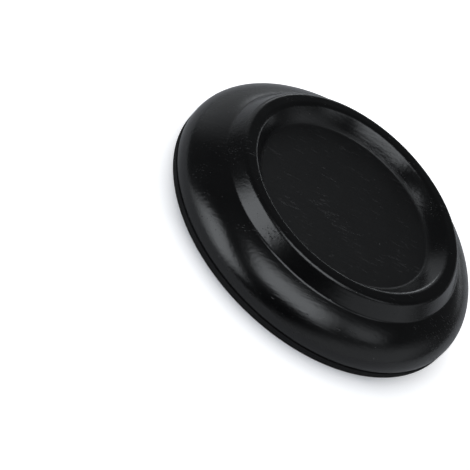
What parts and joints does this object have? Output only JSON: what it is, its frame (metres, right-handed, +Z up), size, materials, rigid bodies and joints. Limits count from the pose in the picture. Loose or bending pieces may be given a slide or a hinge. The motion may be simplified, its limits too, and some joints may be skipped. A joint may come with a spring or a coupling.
{
  "type": "castor cup",
  "caption": "Round black lacquered wooden cup with a convex skirt, flaring collar and shallow recess that holds a castor wheel or furniture foot, on a thin anti-slip pad.",
  "frame": {"origin": "on the turning axis, at the underside of the pad", "axes": "+Z up along the turning axis, out of the recess; X and Y are free because the cup is round"},
  "size_m": [0.13, 0.13, 0.023],
  "materials": {
    "lacquered_wood": "black satin lacquer over open wood grain",
    "pad_rubber": "matt"
  },
  "bodies": {
    "root": {"cup_body": "lacquered_wood", "base_pad": "pad_rubber"}
  },
  "joints": []
}
